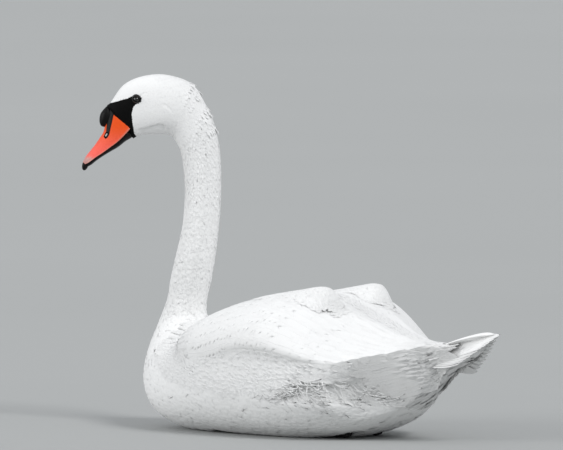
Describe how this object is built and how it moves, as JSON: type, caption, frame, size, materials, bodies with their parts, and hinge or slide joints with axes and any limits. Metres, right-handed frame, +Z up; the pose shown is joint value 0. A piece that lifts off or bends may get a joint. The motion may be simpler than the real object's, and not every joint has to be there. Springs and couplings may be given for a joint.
{
  "type": "mute swan",
  "caption": "Still, life-size white waterbird resting on its belly: tall neck, head turned to its left, orange bill with a black knob, folded wings, pointed tail and tucked webbed feet.",
  "frame": {"origin": "centre of the flat of the belly that the bird rests on", "axes": "+Z up; +X runs back along the body to the tail, so the breast faces -X and the bird's left side is -Y"},
  "size_m": [0.7766, 0.3298, 0.5452],
  "materials": {
    "plumage": "soft white feathers",
    "bill_orange": "smooth satin horn",
    "bill_black": "satin black horn and bare skin",
    "eye": "wet, clear and glossy over dark brown",
    "foot_skin": "matt scaled skin"
  },
  "bodies": {
    "root": {"head": "plumage", "neck_upper": "plumage", "neck_middle": "plumage", "neck_lower": "plumage", "breast": "plumage", "trunk": "plumage", "rump": "plumage", "tail": "plumage", "wing_arm_left": "plumage", "wing_arm_right": "plumage", "wing_secondaries_left": "plumage", "wing_secondaries_right": "plumage", "wing_primaries_left": "plumage", "wing_primaries_right": "plumage", "scapulars_left": "plumage", "scapulars_right": "plumage", "bill_upper": "bill_orange", "bill_lower": "bill_black", "bill_nail": "bill_black", "knob": "bill_black", "eye_left": "eye", "eye_right": "eye", "leg_left": "foot_skin", "leg_right": "foot_skin", "foot_left": "foot_skin", "foot_right": "foot_skin"}
  },
  "joints": []
}
